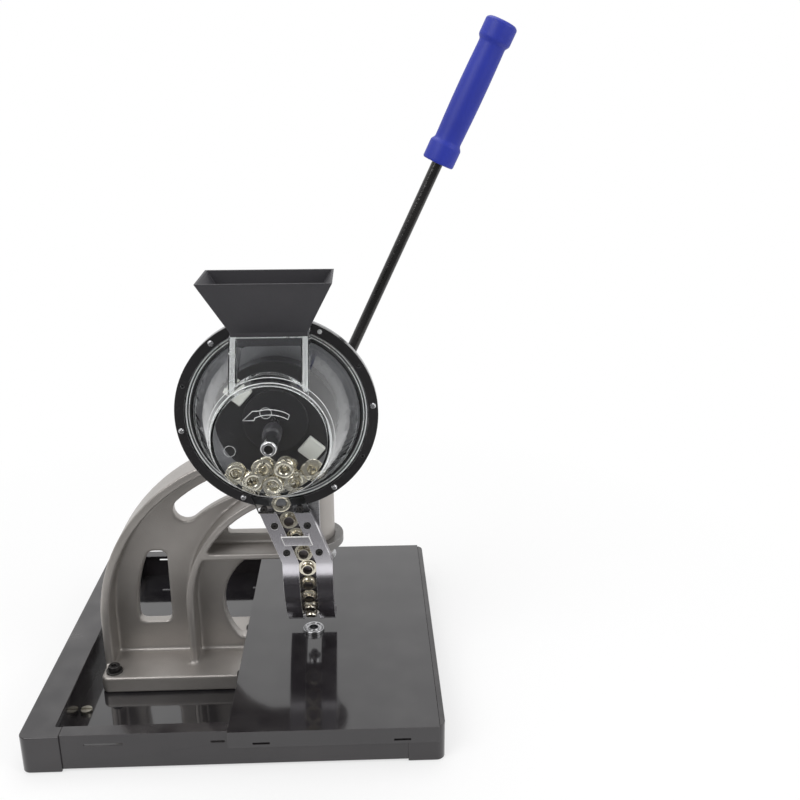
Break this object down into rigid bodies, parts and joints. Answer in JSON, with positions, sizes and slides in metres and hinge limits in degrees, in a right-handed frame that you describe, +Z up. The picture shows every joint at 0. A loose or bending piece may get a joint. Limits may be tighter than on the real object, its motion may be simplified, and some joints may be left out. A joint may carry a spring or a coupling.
{
  "type": "eyelet press",
  "caption": "Hand-lever bench press that sets eyelets in sheet goods, with a clear eyelet drum, funnel, curved feed chute, cast C-frame and low tray table.",
  "frame": {"origin": "middle of the base, on the plane of its rubber feet, where the machine rests", "axes": "+X to the right as the operator faces it, +Y to the back, +Z up"},
  "size_m": [0.5029, 0.39, 0.7108],
  "materials": {
    "black_gloss": "gloss",
    "steel": "satin",
    "black_screws": "satin",
    "rubber": "matte",
    "zinc": "satin",
    "cast_aluminium": "cast",
    "bronze": "satin",
    "plain_aluminium": "machined",
    "black_plastic": "satin",
    "white_plastic": "matte",
    "clear_plastic": "clear",
    "grey_plastic": "matte",
    "blue_plastic": "satin",
    "black_rod": "hammered",
    "nickel": "polished"
  },
  "bodies": {
    "frame": {"base_tray": "black_gloss", "left_rail": "black_gloss", "right_rail": "black_gloss", "deck_plate": "black_gloss", "table_plate": "black_gloss", "table_supports": "steel", "rubber_feet": "rubber", "table_edge_screws": "black_screws", "zinc_catch": "zinc", "c_frame": "cast_aluminium", "foot_bolts": "black_screws", "foot_washers": "steel", "lower_die": "steel", "die_grub_screw": "black_screws", "ram_bushes": "bronze", "pinion_bushes": "bronze", "head_cap": "black_screws", "return_spring": "steel", "barrel_collar": "black_screws", "hinge_saddle": "plain_aluminium", "saddle_screws": "black_screws", "feeder_hinge_pin": "steel"},
    "lever": {"pinion_shaft": "steel", "lever_hub": "black_rod", "hub_set_screws": "black_screws", "lever_rod": "black_rod", "lever_grip": "blue_plastic", "shaft_collar": "steel"},
    "ram": {"ram": "steel", "cam_cone": "steel", "upper_die": "steel", "pilot_pin": "steel", "upper_die_screw": "black_screws"},
    "feeder": {"chute_back_plate": "plain_aluminium", "chute_left_plate": "plain_aluminium", "chute_right_plate": "plain_aluminium", "chute_screws": "black_screws", "chute_clip": "plain_aluminium", "spring_fingers": "steel", "roller_pin": "steel", "outlet_block": "clear_plastic", "feeder_bracket": "plain_aluminium", "drum_back_plate": "plain_aluminium", "drum_ring": "black_plastic", "drum_screws": "steel", "clear_cover": "clear_plastic", "inlet_neck": "clear_plastic", "funnel": "grey_plastic", "cover_nut": "steel", "pawl_pin": "steel", "eyelets_in_drum": "nickel", "eyelets_in_chute": "nickel"},
    "cam_roller": {"cam_roller": "steel"},
    "agitator": {"agitator_disc": "black_plastic", "agitator_paddles": "white_plastic", "agitator_spindle": "steel", "agitator_knob": "black_plastic", "ratchet_wheel": "steel"},
    "pawl": {"pawl": "steel"}
  },
  "joints": [
    {"name": "lever_swing", "type": "hinge", "parent": "frame", "child": "lever", "pos_m": [0.048, 0.035, 0.21], "axis": [0, 1, 0], "range_deg": [0, 84], "stiffness_Nm_per_rad": 0.95, "springref_deg": -91.67},
    {"name": "ram_slide", "type": "slide", "parent": "frame", "child": "ram", "axis": [0, 0, -1], "range_m": [0, 0.0235], "deforming": ["return_spring"]},
    {"name": "feeder_tilt", "type": "hinge", "parent": "frame", "child": "feeder", "pos_m": [0.0715, -0.061, 0.272], "axis": [-1, 0, 0], "range_deg": [0, 4.1]},
    {"name": "cam_roller_spin", "type": "hinge", "parent": "feeder", "child": "cam_roller", "pos_m": [0.0715, -0.03497, 0.112], "axis": [1, 0, 0], "continuous": true},
    {"name": "agitator_spin", "type": "hinge", "parent": "feeder", "child": "agitator", "pos_m": [0.0465, -0.076, 0.332], "axis": [0, 1, 0], "continuous": true},
    {"name": "pawl_pivot", "type": "hinge", "parent": "feeder", "child": "pawl", "pos_m": [0.0205, -0.068, 0.318], "axis": [0, -1, 0], "range_deg": [0, 20]}
  ],
  "couplings": [
    {"joint": "ram_slide", "follows": "lever_swing", "m_per_rad": 0.016},
    {"joint": "feeder_tilt", "follows": "lever_swing", "ratio": 0.047619}
  ]
}
